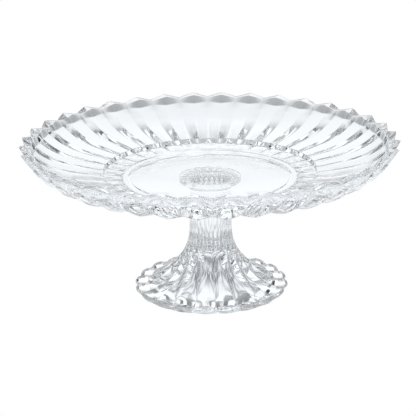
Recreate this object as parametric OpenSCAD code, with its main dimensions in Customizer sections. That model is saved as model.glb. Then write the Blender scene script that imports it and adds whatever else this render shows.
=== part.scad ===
// Footed cake stand in pressed clear glass.
// A plate with a toothed rim and a pleated underside is bonded by a thin clear film to the cap
// of a fluted, hollow pedestal.
// Millimetres. The origin is the centre of the pedestal's footprint on the table, and +Z is up.

/* [Stand] */
// Overall height, table to tooth tips
stand_h = 127; // [120:1:140]
// Height of the pedestal's bonding cap above the table
cap_top_z = 91.8; // [86:0.2:94]

/* [Plate] */
// Diameter over the tooth tips
plate_d = 305; // [296:1:330]
// Number of pleats, each ending in one rim tooth
plate_pleats = 36; // [24:2:44]
// How far a tooth tip stands out beyond the notch beside it
tooth_depth = 3.5; // [1:0.5:8]
// How far a notch lies below the tooth tips
notch_drop = 3.2; // [1:0.1:4]
// Radius of the flat well floor and of the step round it
well_r = 86; // [74:0.5:90]
// Thickness of the glass under the well
well_t = 6; // [5:0.1:8]
// Height of the step round the well floor
step_h = 4.5; // [2:0.1:5]

/* [Pedestal] */
// Diameter over the lobe tips of the foot
foot_d = 127; // [118:1:140]
// Number of flutes, each ending in one foot lobe
foot_flutes = 20; // [12:2:24]
// How far the foot's lobes are turned from the plate's teeth, in degrees
foot_turn = 3; // [0:0.5:9]
// Radius of the neck over its ribs
neck_r = 17.2; // [15:0.1:20]
// Radius of the bonding cap
cap_r = 25; // [25:0.5:30]
// Depth of the hollow under the pedestal
hollow_h = 31; // [25:1:42]
// Depth of a flute on the neck
flute_neck = 0.6; // [0.1:0.1:1]
// Depth of a flute on the foot
flute_foot = 2; // [0.5:0.1:4]

/* [Bond] */
// Thickness of the cured adhesive film
film_t = 0.2; // [0.1:0.05:0.4]
// Radius of the adhesive film
film_r = 24; // [20:0.5:25]

/* [Hidden] */

glass = [0.86, 0.92, 0.94];
resin = [0.93, 0.94, 0.88];
round_fn = 144;

// Heights that follow from the stack: pedestal, film, plate
plate_base_z = cap_top_z + film_t;
well_z = plate_base_z + well_t;

// Plate: the rim's radii, and the leaning inner wall below its roof-pleated land
tip_r = plate_d / 2;
notch_r = tip_r - tooth_depth;
wall_r = 140.5;
wall_z = stand_h - 6.9;
wall_lean = 2.3;
land_rise = 0.7;
land_bury = 4;
over_top = 1;

// Plate: the standing ring under the well, which tapers by its draft and runs up into the plate
ring_in_r = 65;
ring_out_r = 71.5;
ring_h = 2.5;
ring_draft = 1;
ring_bury = 2;
ring_lean = 0.2;

// Plate: how the three curves rise to the rim, as [straight share, power of the upturn]
top_rise = [0.52, 4];
ridge_rise = [0.3, 5.6];
groove_rise = [0.4, 5.4];
groove_lift = 1.2;
top_steps = 16;
pleat_steps = 13;

// Pedestal: the flared skirt, the flange and the cap
skirt_top_z = 58;
skirt_r = 51.5;
skirt_z = 7.1;
skirt_power = 2.75;
skirt_steps = 13;
lobe_r = foot_d / 2;
lobe_z = 3.4;
lobe_sag = 0.8;
foot_undercut = 2.5;
mouth_r = 52;
crown_r = 20;
crown_flare = 1.8;
hollow_steps = 12;
cap_t = 4.3;
cap_chamfer = 0.4;
cap_bury = 0.5;
fillet_r = 7.5;
fillet_steps = 4;

// Columns of the two meshes: a notch and a tip for each pleat, four points for each flute
plate_cols = 2 * plate_pleats;
flute_cols = 4;
foot_cols = flute_cols * foot_flutes;
flute_cusp = 2;
flute_full_r = 45;
lobe_share = 1.5;
base_share = 0.75;

// Height share at share x of the way out: a straight slope that turns up towards the rim
function rise(x, shape) = shape[0] * x + (1 - shape[0]) * pow(x, shape[1]);

// The point [radius, height] turned to angle a about the stand's axis
function at_angle(rz, a) = [rz[0] * cos(a), rz[0] * sin(a), rz[1]];

// One closed solid from rings of points, lowest ring first; flat caps close the first and the last
module skin(rings) {
    cols = len(rings[0]);
    last = len(rings) - 1;
    walls = [
        for (k = [0 : last - 1], i = [0 : cols - 1])
            let (j = (i + 1) % cols)
            each [
                [k * cols + i, (k + 1) * cols + i, (k + 1) * cols + j],
                [k * cols + i, (k + 1) * cols + j, k * cols + j]
            ]
    ];
    first_cap = [for (i = [0 : cols - 1]) i];
    last_cap = [for (i = [cols - 1 : -1 : 0]) last * cols + i];
    polyhedron(
        points = [for (ring = rings) each ring],
        faces = concat([first_cap], walls, [last_cap]),
        convexity = 8
    );
}

// ---- plate ----

// A plate ring from one [radius, height] at the notches and one at the tips
function pleat_ring(notch, tip) = [
    for (i = [0 : plate_cols - 1])
        at_angle(i % 2 == 0 ? notch : tip, i * 360 / plate_cols)
];

// Underside groove and ridge at share x of the way from the standing ring to the rim
function groove_at(x) = [
    ring_out_r + x * (notch_r - ring_out_r),
    plate_base_z + groove_lift
        + rise(x, groove_rise) * (stand_h - notch_drop - plate_base_z - groove_lift)
];
function ridge_at(x) = [
    ring_out_r + x * (tip_r - ring_out_r),
    plate_base_z + rise(x, ridge_rise) * (stand_h - plate_base_z)
];

// Top surface at share x of the way from the step to the inner wall of the rim
function top_at(x) = [
    well_r + x * (wall_r - well_r),
    well_z + step_h + rise(x, top_rise) * (wall_z - well_z - step_h)
];

// Shares of the way out that crowd towards the rim, where the curves turn up
function crowded(k, steps) = 1 - pow(1 - k / steps, 1.5);

// The pressing before it is dished: pleated below, and the rim's land folded like a roof on top
module plate_blank() {
    flat_r = ring_out_r - ring_draft;
    inner_r = wall_r - land_bury;
    skin(concat(
        [pleat_ring([flat_r, plate_base_z], [flat_r, plate_base_z])],
        [
            for (k = [0 : pleat_steps])
                let (x = crowded(k, pleat_steps))
                pleat_ring(groove_at(x), ridge_at(x))
        ],
        [
            pleat_ring([wall_r, stand_h - notch_drop + land_rise], [wall_r, stand_h]),
            pleat_ring([inner_r, wall_z], [inner_r, wall_z])
        ]
    ));
}

// The space over the plate: well, step, dished slope and the inner wall of the rim
module dish_space() {
    rotate_extrude($fn = round_fn)
        polygon(concat(
            [[0, well_z], [well_r, well_z]],
            [for (k = [0 : top_steps]) top_at(crowded(k, top_steps))],
            [[wall_r + wall_lean, stand_h + over_top], [0, stand_h + over_top]]
        ));
}

// The ring that the plate alone would stand on, sunk a little way into the pleated glass
module standing_ring() {
    rotate_extrude($fn = round_fn)
        polygon([
            [ring_in_r, plate_base_z + ring_bury],
            [ring_in_r, plate_base_z],
            [ring_in_r + ring_draft, plate_base_z - ring_h],
            [ring_out_r - ring_draft, plate_base_z - ring_h],
            [ring_out_r - ring_lean, plate_base_z + ring_bury]
        ]);
}

module plate() {
    color(glass)
    difference() {
        union() {
            plate_blank();
            standing_ring();
        }
        dish_space();
    }
}

// ---- bond ----

module bond_film() {
    color(resin) translate([0, 0, cap_top_z]) cylinder(r = film_r, h = film_t, $fn = round_fn);
}

// ---- pedestal ----

// How deep column i lies in its flute: 0 on the rib's crest, 1 in the groove between two ribs
function flute_share(i) = pow(abs(1 - 2 * (i % flute_cols) / flute_cols), flute_cusp);

// Full depth of a flute where the ribs have radius r: it grows from the neck to the flange
function flute_depth(r) =
    flute_neck + (flute_foot - flute_neck) * min(1, max(0, (r - neck_r) / (flute_full_r - neck_r)));

// A pedestal ring with its flutes cut to share of their full depth, and its grooves sagging lower
function flute_ring(r, z, share = 1, sag = 0) = [
    for (i = [0 : foot_cols - 1])
        let (deep = flute_share(i) * share)
        at_angle([r - flute_depth(r) * deep, z - sag * deep], foot_turn + i * 360 / foot_cols)
];

// Rib radius at height z on the neck and skirt
function skirt_radius(z) =
    neck_r + (skirt_r - neck_r) * pow((skirt_top_z - z) / (skirt_top_z - skirt_z), skirt_power);

// The lobed flange, the flared skirt and the neck, solid, from the table up into the cap
module fluted_body() {
    fillet_top_z = cap_top_z - cap_t + cap_bury;
    skin(concat(
        // the foot and its lobed flange, where the flutes are deepest
        [
            flute_ring(lobe_r - foot_undercut, 0, base_share),
            flute_ring(lobe_r, lobe_z, lobe_share, lobe_sag)
        ],
        // the skirt and the neck
        [
            for (k = [0 : skirt_steps])
                let (z = skirt_z + (skirt_top_z - skirt_z) * k / skirt_steps)
                flute_ring(skirt_radius(z), z)
        ],
        // the round fillet under the cap, where the flutes fade out
        [
            for (k = [0 : fillet_steps])
                let (a = 90 * k / fillet_steps)
                flute_ring(
                    neck_r + fillet_r * (1 - cos(a)),
                    fillet_top_z - fillet_r * (1 - sin(a)),
                    1 - k / fillet_steps
                )
        ]
    ));
}

module bonding_cap() {
    translate([0, 0, cap_top_z - cap_t]) cylinder(r = cap_r, h = cap_t - cap_chamfer, $fn = round_fn);
    translate([0, 0, cap_top_z - cap_chamfer])
        cylinder(r1 = cap_r, r2 = cap_r - cap_chamfer, h = cap_chamfer, $fn = round_fn);
}

// Radius of the hollow at share s of the way down from its top: a round crown that flares out
function hollow_radius(s) = crown_r * sqrt(s) * (1 - s) + mouth_r * pow(s, crown_flare);

module hollow_space() {
    rotate_extrude($fn = round_fn)
        polygon(concat(
            [
                for (k = [0 : hollow_steps])
                    let (s = pow(k / hollow_steps, crown_flare))
                    [hollow_radius(s), hollow_h * (1 - s)]
            ],
            [[mouth_r, -over_top], [0, -over_top]]
        ));
}

module pedestal() {
    color(glass)
    difference() {
        union() {
            fluted_body();
            bonding_cap();
        }
        hollow_space();
    }
}

plate();
bond_film();
pedestal();
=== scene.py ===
"""Looks of the clear pressed-glass cake stand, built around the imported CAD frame.

Metres, +Z up, the same frame as the CAD. Two fine glass pressings and the cured bond between
them stand for the three CAD nodes.
"""

import math

import bpy
import numpy as np
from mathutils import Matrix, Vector


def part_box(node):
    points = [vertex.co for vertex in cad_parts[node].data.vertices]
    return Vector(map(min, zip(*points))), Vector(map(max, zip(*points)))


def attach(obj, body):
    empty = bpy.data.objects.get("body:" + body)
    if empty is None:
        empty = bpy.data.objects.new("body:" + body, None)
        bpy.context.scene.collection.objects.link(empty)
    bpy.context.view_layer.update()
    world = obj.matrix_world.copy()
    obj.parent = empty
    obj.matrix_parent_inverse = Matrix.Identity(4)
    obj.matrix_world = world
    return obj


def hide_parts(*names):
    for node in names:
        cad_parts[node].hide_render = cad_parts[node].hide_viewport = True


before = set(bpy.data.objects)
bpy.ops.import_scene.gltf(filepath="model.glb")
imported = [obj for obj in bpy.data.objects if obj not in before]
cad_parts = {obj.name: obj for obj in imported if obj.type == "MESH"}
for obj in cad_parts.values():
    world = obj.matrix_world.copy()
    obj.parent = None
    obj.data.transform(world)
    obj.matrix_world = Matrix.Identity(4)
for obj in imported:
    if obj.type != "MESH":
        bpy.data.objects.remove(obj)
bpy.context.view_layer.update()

MM = 0.001
PLATE_LOW, PLATE_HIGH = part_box("plate")
FOOT_LOW, FOOT_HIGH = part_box("pedestal")
FILM_LOW, FILM_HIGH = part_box("bond_film")

# ---- the plate ----

PLEATS = 36
RIM_Z = PLATE_HIGH.z
TIP_R = PLATE_HIGH.x / math.cos(math.pi / PLEATS)
NOTCH_R = TIP_R - 3.5 * MM
NOTCH_DROP = 3.2 * MM
BASE_Z = FILM_HIGH.z

# the well and the step round it
WELL_R = 86 * MM
WELL_Z = BASE_Z + 6 * MM
STEP_H = 4.5 * MM
STEP_ROUND_TOP = 0.7 * MM
STEP_ROUND_FOOT = 0.5 * MM

# the rim's land, and the inner wall that is slightly folded in time with the teeth
LAND_IN_R = 142.5 * MM
LAND_VALLEY_RISE = 0.7 * MM
WALL_R = 140.5 * MM
WALL_DROP = 6.9 * MM
WALL_FOLD = 0.6 * MM
WALL_STEP = 0.9 * MM
WALL_ROUND = 0.8 * MM
EDGE_ROUND = 0.5 * MM

# the standing ring under the well
RING_IN_R = 65 * MM
RING_OUT_R = 71.5 * MM
RING_BOTTOM_Z = PLATE_LOW.z
RING_DRAFT = 1.2 * MM
RING_ROUND_ROOT = 0.4 * MM
RING_ROUND_FOOT = 0.3 * MM

# how the curves rise to the rim: (straight share, power of the upturn)
TOP_RISE = (0.52, 4)
RIDGE_RISE = (0.30, 5.6)
GROOVE_RISE = (0.40, 5.4)
GROOVE_LIFT = 1.2 * MM
UNDERSIDE_END = 0.985
UNDERSIDE_STEPS = 34
TOP_STEPS = 24
GROOVE_SCOOP = 0.9

# ---- the pedestal and the bond ----

FLUTES = 20
FOOT_TURN = math.radians(3)
CAP_R = 25 * MM
CAP_TOP_Z = FOOT_HIGH.z
CAP_BOTTOM_Z = CAP_TOP_Z - 4.3 * MM
CAP_EDGE = 0.4 * MM
NECK_R = 17.2 * MM
FILLET_R = 7.5 * MM
FILLET_STEPS = 8
SKIRT_TOP_Z = 58 * MM
SKIRT_Z = 7.1 * MM
SKIRT_R = 51.5 * MM
SKIRT_POWER = 2.75
SKIRT_STEPS = 40
SKIRT_START = 3 * MM
LOBE_R = 63.5 * MM
LOBE_Z = 3.2 * MM
MOUTH_R = 52 * MM
HOLLOW_H = 31 * MM
CROWN_R = 20 * MM
CROWN_FLARE = 1.8
HOLLOW_STEPS = 22

# depth of the valleys between the reeds, as a share of the reeds' pitch, at the neck and the foot
FLUTE_DEPTH_NECK = 0.11
FLUTE_DEPTH_FOOT = 0.14
FLUTE_FULL_R = 45 * MM
FLUTE_POWER = 2.4
LOBE_SHARE = 1.5
LOBE_STEPS = 6

FILM_R = FILM_HIGH.x
FILM_BULGE = 0.9995

# ---- the studio ----

FLOOR_HALF = 6.0

# The pool of light on the floor that the glass sees: (metres from the axis, brightness)
POOL_STOPS = [
    (0, 1.05), (0.02, 0.95), (0.045, 0.88), (0.058, 0.7), (0.075, 1.0),
    (0.4, 0.97), (0.6, 0.8), (1.0, 0.5), (2.5, 0.42),
]
# The light added on the camera's side of it, over the distance, and where along Y it fades in
POOL_NEAR_STOPS = [(0, 0.9), (0.12, 0.85), (0.15, 0.08), (0.3, 0.08), (0.6, 0.0)]
POOL_NEAR_FADE = (-0.1, 0.0)
# Tongues of shade, running front to back: streaks per metre across and along, and how deep
# they are over the distance from the axis
FINE_TONGUES = (240, 22)
FINE_STOPS = [(0, 0.1), (0.02, 0.45), (0.05, 0.85), (0.065, 0.45), (0.08, 0.0), (0.1, 0.0)]
BROAD_TONGUES = (40, 9)
BROAD_STOPS = [(0, 0.0), (0.06, 0.1), (0.075, 0.4), (0.15, 0.38), (0.19, 0.0), (0.25, 0.0)]

# Directions below are unit vectors: X to the right, Y away from the camera's side, Z up.
# Brightness over Z of the dim room, and of the soft box behind the stand
ROOM_STOPS = [
    (0.0, 0.05), (0.14, 0.03), (0.3, 0.04), (0.5, 0.12), (0.7, 0.35), (0.88, 0.45), (1.0, 0.38),
]
BOX_STOPS = [
    (0.0, 0.18), (0.1, 0.3), (0.16, 0.55), (0.28, 0.66), (0.45, 0.95), (0.75, 0.98), (0.88, 0.6),
    (1.0, 0.35),
]
# The dim fill on the camera's side: its colour, and where along Y it fades in
FRONT_FILL = (0.34, 0.35, 0.36)
FRONT_FADE = (-0.7, -0.2)
# The soft box: where along Y it starts, where its middle stands along X, and how far to each
# side of that its edges fade
BOX_START = (0.1, 0.4)
BOX_MIDDLE = 0.04
BOX_EDGES = (0.5, 0.66)
# The whole room is a little brighter at the right: (from, to) along X, and the factors there
SIDE_SPAN = (-0.5, 0.5)
SIDE_FACTORS = (1.35, 1.5)
# The black flag, low at the right: where its left and its top edge fade, along X and Z
FLAG_LEFT_EDGE = (0.38, 0.5)
FLAG_TOP_EDGE = (0.44, 0.6)

# The camera: a long lens level with the photograph's view
AZIMUTH = math.radians(0.54)
ELEVATION = math.radians(16.15)
DISTANCE = 7.62 * TIP_R
AIM_BELOW = math.radians(2.74)
AIM_LEFT = math.radians(0.06)
ROLL = math.radians(0.75)
LENS = 125.2


# ---- profiles, as [radius, height] points ----


def rounded(points, radii, steps=4):
    """The polyline with its corners rounded: a quadratic arc at each corner with a radius > 0."""
    points = [np.array(p, float) for p in points]
    out = []
    for i, p in enumerate(points):
        radius = radii[i]
        if radius <= 0 or i in (0, len(points) - 1):
            out.append(p)
            continue
        back = points[i - 1] - p
        ahead = points[i + 1] - p
        reach_back = min(radius, 0.45 * np.linalg.norm(back))
        reach_ahead = min(radius, 0.45 * np.linalg.norm(ahead))
        start = p + back / np.linalg.norm(back) * reach_back
        end = p + ahead / np.linalg.norm(ahead) * reach_ahead
        for k in range(steps + 1):
            t = k / steps
            out.append((1 - t) ** 2 * start + 2 * t * (1 - t) * p + t * t * end)
    return out


def curve(function, start, end, count, crowd=1.0):
    """count points of function(x), x from start to end, crowded towards the end for crowd > 1."""
    shares = [1 - (1 - k / (count - 1)) ** crowd for k in range(count)]
    return [function(start + (end - start) * s) for s in shares]


def rise(x, straight, power):
    """Share of the height at share x of the way out: a straight slope that turns up."""
    return straight * x + (1 - straight) * x**power


# ---- skins ----

# Places from a period's start (0) to its middle (1), crowded at both ends
HALF_PERIOD = [0, 0.03, 0.07, 0.12, 0.2, 0.3, 0.4, 0.5, 0.6, 0.7, 0.8, 0.88, 0.93, 0.97]
SHARP_ANGLE = math.radians(28)


def columns():
    """(share of the period's angle, place 0..1) for every column of one period."""
    down = [1.0] + HALF_PERIOD[:0:-1]
    return [(u / 2, u) for u in HALF_PERIOD] + [(1 - u / 2, u) for u in down]


def blunted(u, blunt_low, blunt_high):
    """The zigzag coordinate u with its corner at 0 and at 1 rounded over the given shares."""
    if blunt_low > 0 and u < blunt_low:
        return u * u / (2 * blunt_low) + blunt_low / 2
    if blunt_high > 0 and u > 1 - blunt_high:
        return 1 - blunt_high / 2 - (1 - u) ** 2 / (2 * blunt_high)
    return u


def sweep(name, levels, periods, turn=0.0):
    """A closed skin of revolution with periodic pleats or reeds.

    levels are dicts: "a" the [radius, height] at a period's start and "b" the same at its
    middle, "power" how the section runs from a to b (1 straight, more is scooped at a),
    "blunt_low" and "blunt_high" how far the corners at a and b are rounded, and "slot" the
    material slot of the faces up to the next level. The first and the last level may have
    radius 0, and then close on a single point.
    """
    angles = []
    places = []
    for period in range(periods):
        for share, place in columns():
            angles.append(turn + (period + share) * 2 * math.pi / periods)
            places.append(place)
    count = len(angles)
    cos = np.cos(angles)
    sin = np.sin(angles)
    verts = []
    rings = []
    for level in levels:
        a = np.array(level["a"], float)
        b = np.array(level.get("b", level["a"]), float)
        if a[0] == 0:
            rings.append([len(verts)] * count)
            verts.append((0.0, 0.0, a[1]))
            continue
        low, high = level.get("blunt_low", 0), level.get("blunt_high", 0)
        power = level.get("power", 1)
        g = np.array([blunted(u, low, high) ** power for u in places])
        r = a[0] + (b[0] - a[0]) * g
        z = a[1] + (b[1] - a[1]) * g
        rings.append(list(range(len(verts), len(verts) + count)))
        verts.extend(zip(r * cos, r * sin, z))
    faces = []
    slots = []
    for k in range(len(rings) - 1):
        low, high = rings[k], rings[k + 1]
        for i in range(count):
            j = (i + 1) % count
            face = list(dict.fromkeys([low[i], low[j], high[j], high[i]]))
            if len(face) > 2:
                faces.append(face)
                slots.append(levels[k].get("slot", 0))
    mesh = bpy.data.meshes.new(name)
    mesh.from_pydata([tuple(map(float, v)) for v in verts], [], faces)
    mesh.polygons.foreach_set("material_index", slots)
    mesh.polygons.foreach_set("use_smooth", [True] * len(faces))
    mesh.update()
    mesh.set_sharp_from_angle(angle=SHARP_ANGLE)
    piece = bpy.data.objects.new(name, mesh)
    bpy.context.scene.collection.objects.link(piece)
    return piece


# ---- the plate ----


def under_ridge(x):
    r = RING_OUT_R + x * (TIP_R - RING_OUT_R)
    return (r, BASE_Z + rise(x, *RIDGE_RISE) * (RIM_Z - BASE_Z))


def under_groove(x):
    r = RING_OUT_R + x * (NOTCH_R - RING_OUT_R)
    low = BASE_Z + GROOVE_LIFT
    return (r, low + rise(x, *GROOVE_RISE) * (RIM_Z - NOTCH_DROP - low))


def top_surface(x):
    r = WELL_R + x * (WALL_R - WELL_R)
    low = WELL_Z + STEP_H
    return (r, low + rise(x, *TOP_RISE) * (RIM_Z - WALL_DROP - low))


def plate_levels():
    """The plate's skin, from the middle of its underside round the rim to the well's middle."""
    levels = []

    def add_round(points, slot=0):
        for p in points:
            levels.append(dict(a=p, slot=slot))

    # the flat underside: the bonded middle, then out over the standing ring
    add_round([(0, BASE_Z), (FILM_R * 0.5, BASE_Z)], slot=1)
    add_round([(FILM_R, BASE_Z)])
    add_round(rounded(
        [
            (FILM_R * 1.3, BASE_Z),
            (RING_IN_R, BASE_Z),
            (RING_IN_R + RING_DRAFT, RING_BOTTOM_Z),
            (RING_OUT_R - RING_DRAFT, RING_BOTTOM_Z),
            (RING_OUT_R, BASE_Z),
        ],
        [0, RING_ROUND_ROOT, RING_ROUND_FOOT, RING_ROUND_FOOT, 0],
    ))
    # the pleated underside: grooves between sharp ridges, up to the outer edge
    ridge = curve(under_ridge, 0, UNDERSIDE_END, UNDERSIDE_STEPS, 1.3)
    groove = curve(under_groove, 0, UNDERSIDE_END, UNDERSIDE_STEPS, 1.3)
    for k in range(1, UNDERSIDE_STEPS):
        inner_share = 1 - k / (UNDERSIDE_STEPS - 1)
        levels.append(dict(
            a=groove[k], b=ridge[k], power=1 + GROOVE_SCOOP * inner_share**3,
            blunt_low=0.05, blunt_high=0.05,
        ))
    # the rim: outer edge, roof-pleated land and leaning inner wall
    rim_radii = [0, EDGE_ROUND, EDGE_ROUND, WALL_ROUND, 0]
    notch_side = rounded(
        [
            under_groove(UNDERSIDE_END),
            (NOTCH_R, RIM_Z - NOTCH_DROP),
            (LAND_IN_R, RIM_Z - NOTCH_DROP + LAND_VALLEY_RISE),
            (WALL_R - WALL_FOLD, RIM_Z - WALL_DROP + WALL_STEP),
            top_surface(0.93),
        ],
        rim_radii,
    )
    tip_side = rounded(
        [
            under_ridge(UNDERSIDE_END),
            (TIP_R, RIM_Z),
            (LAND_IN_R, RIM_Z),
            (WALL_R + WALL_FOLD, RIM_Z - WALL_DROP - WALL_STEP),
            top_surface(0.93),
        ],
        rim_radii,
    )
    for a, b in zip(notch_side[1:], tip_side[1:]):
        levels.append(dict(a=a, b=b, blunt_low=0.07, blunt_high=0.06))
    # the dished top, the step and the well floor
    add_round(curve(top_surface, 0.9, 0.02, TOP_STEPS))
    add_round(rounded(
        [
            top_surface(0.015),
            (WELL_R, WELL_Z + STEP_H),
            (WELL_R, WELL_Z),
            (WELL_R - 3 * MM, WELL_Z),
        ],
        [0, STEP_ROUND_TOP, STEP_ROUND_FOOT, 0],
    ))
    add_round([(WELL_R * share, WELL_Z) for share in (0.8, 0.55, 0.3, 0.12, 0)])
    return levels


# ---- the pedestal ----


def skirt_r(z):
    """Radius of the reeds' crests at height z."""
    x = max(0.0, (SKIRT_TOP_Z - z) / (SKIRT_TOP_Z - SKIRT_Z))
    return NECK_R + (SKIRT_R - NECK_R) * x**SKIRT_POWER


def hollow(s):
    """The hollow's profile at share s of the way down from its crown."""
    r = CROWN_R * math.sqrt(s) * (1 - s) + MOUTH_R * s**CROWN_FLARE
    return (r, HOLLOW_H * (1 - s))


def flute_depth(r):
    """Depth of the valley between two reeds at radius r, measured square to the surface."""
    share = min(1.0, max(0.0, (r - NECK_R) / (FLUTE_FULL_R - NECK_R)))
    deep = FLUTE_DEPTH_NECK + (FLUTE_DEPTH_FOOT - FLUTE_DEPTH_NECK) * share
    return deep * 2 * math.pi * min(r, FLUTE_FULL_R) / FLUTES


def reeded_outline():
    """The reeds' crest line from the foot to the fillet's end, and the share of their depth."""
    outline = rounded(
        [
            (LOBE_R - 6 * MM, 0),
            (LOBE_R - 2.8 * MM, 0),
            (LOBE_R, LOBE_Z),
            (LOBE_R - 1.6 * MM, 6.0 * MM),
            (SKIRT_R, SKIRT_Z),
            (skirt_r(SKIRT_Z + SKIRT_START), SKIRT_Z + SKIRT_START),
        ],
        [0, 0.7 * MM, 0.9 * MM, 1.6 * MM, 2.0 * MM, 0],
    )
    # the lobes are deepest round the flange's edge
    shares = [LOBE_SHARE * min(1.0, k / LOBE_STEPS) for k in range(len(outline))]
    for k in range(LOBE_STEPS + 1, len(outline)):
        if outline[k][0] < LOBE_R - 4 * MM:
            shares[k] = 1.0
    # the skirt and the neck
    low = SKIRT_Z + SKIRT_START
    high = CAP_BOTTOM_Z - FILLET_R
    for k in range(1, SKIRT_STEPS):
        z = low + (high - low) * (k / (SKIRT_STEPS - 1))
        outline.append(np.array([skirt_r(z), z]))
        shares.append(1.0)
    # the fillet under the cap, where the reeds fade out
    for k in range(1, FILLET_STEPS + 1):
        a = math.pi / 2 * k / FILLET_STEPS
        r = NECK_R + FILLET_R * (1 - math.cos(a))
        outline.append(np.array([r, CAP_BOTTOM_Z - FILLET_R * (1 - math.sin(a))]))
        shares.append(1 - k / FILLET_STEPS)
    return outline, shares


def pedestal_levels():
    """The pedestal's skin, from the hollow's crown round the foot and up to the cap's middle."""
    levels = []

    def add_round(points, slot=0):
        for p in points:
            levels.append(dict(a=p, slot=slot))

    # the hollow, from its crown down to the mouth, and the ring it stands on
    add_round([(0, HOLLOW_H)])
    add_round([hollow((k / HOLLOW_STEPS) ** CROWN_FLARE) for k in range(1, HOLLOW_STEPS)])
    mouth = [hollow(0.97), (MOUTH_R + 0.8 * MM, 0), (LOBE_R - 8 * MM, 0)]
    add_round(rounded(mouth, [0, 0.8 * MM, 0])[1:-1])
    # the reeded outside, each reed's crest at the period's start and its valley at the middle
    outline, shares = reeded_outline()
    for k in range(len(outline) - 1):
        crest = outline[k]
        along = outline[k + 1] - outline[max(k - 1, 0)]
        along = along / np.linalg.norm(along)
        inward = np.array([-along[1], along[0]])
        valley = crest + shares[k] * flute_depth(crest[0]) * inward
        valley[1] = max(valley[1], 0.0)
        levels.append(dict(a=crest, b=valley, power=FLUTE_POWER, blunt_high=0.04))
    # the bonding cap
    cap = rounded(
        [
            (CAP_R - CAP_EDGE, CAP_BOTTOM_Z),
            (CAP_R, CAP_BOTTOM_Z + CAP_EDGE),
            (CAP_R, CAP_TOP_Z),
            (FILM_R, CAP_TOP_Z),
        ],
        [0, 0, 0.5 * MM, 0],
    )
    add_round(cap[:-1])
    add_round([(FILM_R, CAP_TOP_Z), (FILM_R * 0.5, CAP_TOP_Z), (0, CAP_TOP_Z)], slot=1)
    return levels


# ---- the bond ----


def bond_levels():
    """The film's skin, from the middle of its lower face to the middle of its upper one."""
    low = FILM_LOW.z
    high = FILM_HIGH.z
    return [
        dict(a=(0, low), slot=1),
        dict(a=(FILM_R * 0.5, low), slot=1),
        dict(a=(FILM_R * FILM_BULGE, low)),
        dict(a=(FILM_R, (low + high) / 2)),
        dict(a=(FILM_R * FILM_BULGE, high), slot=1),
        dict(a=(FILM_R * 0.5, high), slot=1),
        dict(a=(0, high), slot=1),
    ]


# ---- nodes ----


def new_material(name):
    material = bpy.data.materials.new(name)
    material.use_nodes = True
    nodes = material.node_tree.nodes
    nodes.clear()
    return material, nodes, material.node_tree.links


def noise_node(nodes, links, place, scale, detail):
    """The grey output of a noise at this scale and detail, over the place socket."""
    noise = nodes.new("ShaderNodeTexNoise")
    noise.inputs["Scale"].default_value = scale
    noise.inputs["Detail"].default_value = detail
    links.new(place, noise.inputs["Vector"])
    return noise.outputs["Fac"]


def ranged(nodes, links, source, span, values=(0.0, 1.0), smooth=True):
    """Runs from the first to the second value while the source runs over the span."""
    node = nodes.new("ShaderNodeMapRange")
    node.interpolation_type = "SMOOTHSTEP" if smooth else "LINEAR"
    node.inputs["From Min"].default_value = span[0]
    node.inputs["From Max"].default_value = span[1]
    node.inputs["To Min"].default_value = values[0]
    node.inputs["To Max"].default_value = values[1]
    links.new(source, node.inputs["Value"])
    return node.outputs["Result"]


def combined(nodes, links, operation, *values):
    """The output of a math node whose inputs are sockets or plain numbers."""
    node = nodes.new("ShaderNodeMath")
    node.operation = operation
    for socket, value in zip(node.inputs, values):
        if isinstance(value, (int, float)):
            socket.default_value = value
        else:
            links.new(value, socket)
    return node.outputs["Value"]


def ramp_node(nodes, links, source, stops):
    """The colour output of a ramp with these (position, colour) stops."""
    ramp = nodes.new("ShaderNodeValToRGB")
    elements = ramp.color_ramp.elements
    while len(elements) < len(stops):
        elements.new(0.5)
    for element, (position, color) in zip(elements, stops):
        element.position = position
        element.color = (*color, 1)
    links.new(source, ramp.inputs["Fac"])
    return ramp.outputs["Color"]


def mixed(nodes, links, factor, first, second):
    """The blend of two colours by the factor socket; each is a socket or a plain colour."""
    mix = nodes.new("ShaderNodeMix")
    mix.data_type = "RGBA"
    links.new(factor, mix.inputs["Factor"])
    for socket, value in ((mix.inputs["A"], first), (mix.inputs["B"], second)):
        if isinstance(value, tuple):
            socket.default_value = (*value, 1)
        else:
            links.new(value, socket)
    return mix.outputs["Result"]


# ---- materials ----


def glass_material(name, tint_pale, tint_deep, rough_values, wave_scale):
    """Clear pressed glass: a faint tint that varies, a trace of haze and slow mould waviness."""
    material, nodes, links = new_material(name)
    out = nodes.new("ShaderNodeOutputMaterial")
    shader = nodes.new("ShaderNodeBsdfPrincipled")
    shader.inputs["IOR"].default_value = 1.5
    shader.inputs["Transmission Weight"].default_value = 1.0
    place = nodes.new("ShaderNodeTexCoord").outputs["Object"]

    cloud = noise_node(nodes, links, place, 14, 3)
    links.new(mixed(nodes, links, cloud, tint_pale, tint_deep), shader.inputs["Base Color"])

    haze = noise_node(nodes, links, place, 60, 4)
    rough = ranged(nodes, links, haze, (0.35, 0.75), rough_values, smooth=False)
    links.new(rough, shader.inputs["Roughness"])

    bump = nodes.new("ShaderNodeBump")
    bump.inputs["Strength"].default_value = 0.25
    bump.inputs["Distance"].default_value = 0.6 * MM
    links.new(noise_node(nodes, links, place, wave_scale, 1), bump.inputs["Height"])
    links.new(bump.outputs["Normal"], shader.inputs["Normal"])
    links.new(shader.outputs["BSDF"], out.inputs["Surface"])
    return material


def contact_material(name):
    """The bonded faces: glass and resin in optical contact, so light passes straight through."""
    material, nodes, links = new_material(name)
    out = nodes.new("ShaderNodeOutputMaterial")
    clear = nodes.new("ShaderNodeBsdfTransparent")
    links.new(clear.outputs["BSDF"], out.inputs["Surface"])
    return material


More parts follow.
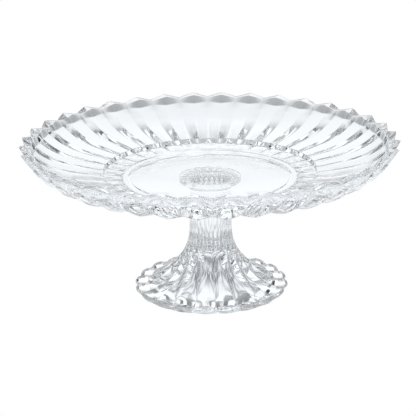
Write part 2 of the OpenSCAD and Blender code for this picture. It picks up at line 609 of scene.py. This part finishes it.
def over_reach(nodes, links, reach, stops):
    """Brightness over the distance from the axis; stops are (metres, level)."""
    far = stops[-1][0]
    share = ranged(nodes, links, reach, (0.0, far), smooth=False)
    return ramp_node(nodes, links, share, [(metres / far, (level,) * 3) for metres, level in stops])


def tongues(nodes, links, place, across, along, stops, reach):
    """1 minus streaks of stretched noise, whose depth over the distance from the axis is stops."""
    stretched = nodes.new("ShaderNodeVectorMath")
    stretched.operation = "MULTIPLY"
    stretched.inputs[1].default_value = (across, along, 0)
    links.new(place, stretched.inputs[0])
    noise = noise_node(nodes, links, stretched.outputs["Vector"], 1, 2)
    streak = ranged(nodes, links, noise, (0.43, 0.57))
    darker = combined(nodes, links, "MULTIPLY", streak, over_reach(nodes, links, reach, stops))
    return combined(nodes, links, "SUBTRACT", 1.0, darker)


def pool_material():
    """The lit floor as the glass sees it: a pool of light, streaked by the glass above it."""
    material, nodes, links = new_material("floor_light_pool")
    out = nodes.new("ShaderNodeOutputMaterial")
    glow = nodes.new("ShaderNodeEmission")
    glow.inputs["Color"].default_value = (0.96, 0.98, 1.0, 1)
    place = nodes.new("ShaderNodeNewGeometry").outputs["Position"]
    length = nodes.new("ShaderNodeVectorMath")
    length.operation = "LENGTH"
    links.new(place, length.inputs[0])
    reach = length.outputs["Value"]
    split = nodes.new("ShaderNodeSeparateXYZ")
    links.new(place, split.inputs["Vector"])

    pool = over_reach(nodes, links, reach, POOL_STOPS)
    near_side = ranged(nodes, links, split.outputs["Y"], POOL_NEAR_FADE, (1.0, 0.0), smooth=False)
    added = over_reach(nodes, links, reach, POOL_NEAR_STOPS)
    nearer = combined(nodes, links, "MULTIPLY", near_side, added)
    lit = combined(nodes, links, "ADD", pool, nearer)
    fine = tongues(nodes, links, place, *FINE_TONGUES, FINE_STOPS, reach)
    broad = tongues(nodes, links, place, *BROAD_TONGUES, BROAD_STOPS, reach)
    keep = combined(nodes, links, "MULTIPLY", fine, broad)
    links.new(combined(nodes, links, "MULTIPLY", lit, keep), glow.inputs["Strength"])
    links.new(glow.outputs["Emission"], out.inputs["Surface"])
    return material


def white_material():
    """The plain white floor in view."""
    material, nodes, links = new_material("floor_white")
    out = nodes.new("ShaderNodeOutputMaterial")
    glow = nodes.new("ShaderNodeEmission")
    glow.inputs["Color"].default_value = (1, 1, 1, 1)
    links.new(glow.outputs["Emission"], out.inputs["Surface"])
    return material


# ---- the stand ----

plate_glass = glass_material(
    "pressed_plate_glass", (0.98, 0.991, 0.998), (0.95, 0.972, 0.988), (0.0, 0.03), 35
)
foot_glass = glass_material(
    "pressed_foot_glass", (0.97, 0.983, 0.992), (0.94, 0.962, 0.98), (0.0, 0.035), 45
)
resin = glass_material("cured_resin", (0.97, 0.97, 0.95), (0.93, 0.93, 0.9), (0.05, 0.12), 90)
contact = contact_material("optical_contact")

plate = sweep("glass_plate", plate_levels(), PLEATS)
pedestal = sweep("glass_pedestal", pedestal_levels(), FLUTES, FOOT_TURN + math.pi / FLUTES)
bond = sweep("bond_disc", bond_levels(), FLUTES)

for piece, body_material, node, slot in (
    (plate, plate_glass, "plate", "plate_glass"),
    (pedestal, foot_glass, "pedestal", "pedestal_glass"),
    (bond, resin, "bond_film", "bond"),
):
    piece.data.materials.append(body_material)
    piece.data.materials.append(contact)
    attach(piece, "root")
    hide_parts(node)


# ---- the floor ----


def floor_plane(name, z, material):
    half = FLOOR_HALF
    corners = [(-half, -half, z), (half, -half, z), (half, half, z), (-half, half, z)]
    mesh = bpy.data.meshes.new(name)
    mesh.from_pydata(corners, [], [(0, 1, 2, 3)])
    plane = bpy.data.objects.new(name, mesh)
    bpy.context.scene.collection.objects.link(plane)
    plane.data.materials.append(material)
    return plane


# The floor in view is plain white. The glass sees the same floor as a pool of light round the
# stand that falls off into the room, with the foot's shadow in the middle.
floor = floor_plane("floor", -0.05 * MM, white_material())
floor.visible_glossy = False
floor.visible_transmission = False
floor.visible_diffuse = False
pool = floor_plane("floor_pool", -0.06 * MM, pool_material())
pool.visible_camera = False


# ---- the room ----


def studio_world():
    """A soft box behind and above the stand, in a dim room that the glass edges pick up."""
    world = bpy.data.worlds.new("studio")
    bpy.context.scene.world = world
    world.use_nodes = True
    nodes, links = world.node_tree.nodes, world.node_tree.links
    nodes.clear()
    out = nodes.new("ShaderNodeOutputWorld")
    back = nodes.new("ShaderNodeBackground")
    place = nodes.new("ShaderNodeTexCoord")
    split = nodes.new("ShaderNodeSeparateXYZ")
    links.new(place.outputs["Generated"], split.inputs["Vector"])
    x, y, z = split.outputs["X"], split.outputs["Y"], split.outputs["Z"]

    # the dim room, with the fill on the camera's side
    dim = ramp_node(nodes, links, z, [(up, (0.96 * v, 0.98 * v, v)) for up, v in ROOM_STOPS])
    in_front = ranged(nodes, links, y, FRONT_FADE, (1.0, 0.0))
    room = mixed(nodes, links, in_front, dim, FRONT_FILL)

    # the soft box
    box = ramp_node(nodes, links, z, [(up, (0.97 * v, 0.985 * v, v)) for up, v in BOX_STOPS])
    behind = ranged(nodes, links, y, BOX_START)
    off_centre = combined(nodes, links, "ABSOLUTE", combined(nodes, links, "SUBTRACT", x, BOX_MIDDLE))
    within = ranged(nodes, links, off_centre, BOX_EDGES, (1.0, 0.0))
    in_box = combined(nodes, links, "MULTIPLY", behind, within)
    links.new(mixed(nodes, links, in_box, room, box), back.inputs["Color"])

    # the black flag, which draws the dark marks in the foot
    beside = ranged(nodes, links, x, FLAG_LEFT_EDGE)
    below = ranged(nodes, links, z, FLAG_TOP_EDGE, (1.0, 0.0))
    flag = combined(nodes, links, "MULTIPLY", beside, below)
    open_share = combined(nodes, links, "SUBTRACT", 1.0, flag)
    side = ranged(nodes, links, x, SIDE_SPAN, SIDE_FACTORS, smooth=False)
    links.new(combined(nodes, links, "MULTIPLY", side, open_share), back.inputs["Strength"])
    links.new(back.outputs["Background"], out.inputs["Surface"])


studio_world()


# ---- the camera ----


def photograph_camera():
    data = bpy.data.cameras.new("camera")
    camera = bpy.data.objects.new("camera", data)
    bpy.context.scene.collection.objects.link(camera)
    data.lens = LENS
    data.sensor_width = 36
    data.clip_end = 50
    towards = Vector((
        math.sin(AZIMUTH) * math.cos(ELEVATION),
        math.cos(AZIMUTH) * math.cos(ELEVATION),
        -math.sin(ELEVATION),
    ))
    right = towards.cross(Vector((0, 0, 1))).normalized()
    up = right.cross(towards)
    rolled_right = math.cos(ROLL) * right - math.sin(ROLL) * up
    rolled_up = math.sin(ROLL) * right + math.cos(ROLL) * up
    aim = towards - math.tan(AIM_LEFT) * rolled_right - math.tan(AIM_BELOW) * rolled_up
    aim = aim.normalized()
    side = aim.cross(rolled_up).normalized()
    over = side.cross(aim)
    camera.location = Vector((0, 0, RIM_Z)) - DISTANCE * towards
    matrix = camera.matrix_world.copy()
    for i in range(3):
        matrix[i][0] = side[i]
        matrix[i][1] = over[i]
        matrix[i][2] = -aim[i]
        matrix[i][3] = camera.location[i]
    camera.matrix_world = matrix
    bpy.context.scene.camera = camera


photograph_camera()

scene = bpy.context.scene
scene.view_settings.view_transform = "Standard"
scene.cycles.max_bounces = 28
scene.cycles.transmission_bounces = 28
scene.cycles.glossy_bounces = 16
scene.cycles.transparent_max_bounces = 16
scene.cycles.caustics_refractive = True
